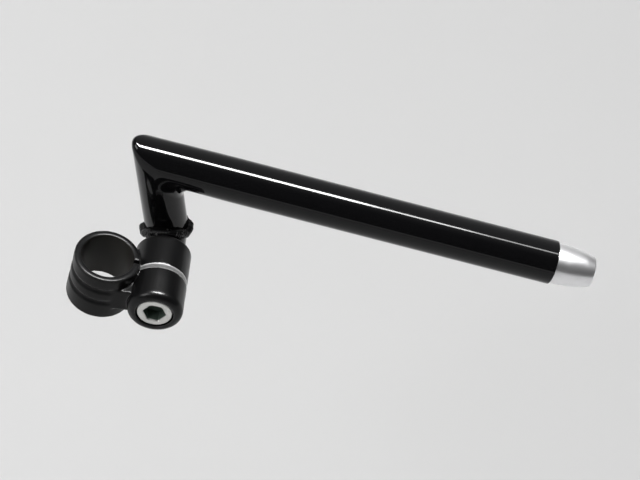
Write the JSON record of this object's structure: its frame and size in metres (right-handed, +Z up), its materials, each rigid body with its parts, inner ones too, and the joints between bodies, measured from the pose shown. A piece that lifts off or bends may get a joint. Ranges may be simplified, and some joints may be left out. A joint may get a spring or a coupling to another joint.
{
  "type": "clip-on handlebar",
  "caption": "Clip-on handlebar: a split fork clamp with a pinch bolt carries a stem, welded riser and straight handle tube with a polished end cap; the stem swivels for angle.",
  "frame": {"origin": "centre of the fork bore, half way up the ring", "axes": "+Z up the fork bore, +X outboard along the handle, +Y forward, away from the rider"},
  "size_m": [0.2554, 0.069, 0.0765],
  "materials": {
    "clamp_coating": "satin black coated casting, bare in the slit",
    "gloss_paint": "gloss black paint on steel tube",
    "bolt_zinc": "bright zinc plate",
    "polished_aluminium": "mirror polished",
    "black_rubber": "matt"
  },
  "bodies": {
    "clamp": {"clamp_body": "clamp_coating"},
    "handle": {"pinch_bolt": "bolt_zinc", "stem": "gloss_paint", "riser_tube": "gloss_paint", "saddle_weld": "gloss_paint", "handle_tube": "gloss_paint", "bar_end_cap": "polished_aluminium", "bar_end_bolt": "bolt_zinc", "expander_rubber": "black_rubber", "expander_nut": "bolt_zinc"}
  },
  "joints": [
    {"name": "stem_swivel", "type": "hinge", "parent": "clamp", "child": "handle", "pos_m": [0.0279, 0, 0.0015], "axis": [0, 1, 0], "continuous": true}
  ]
}
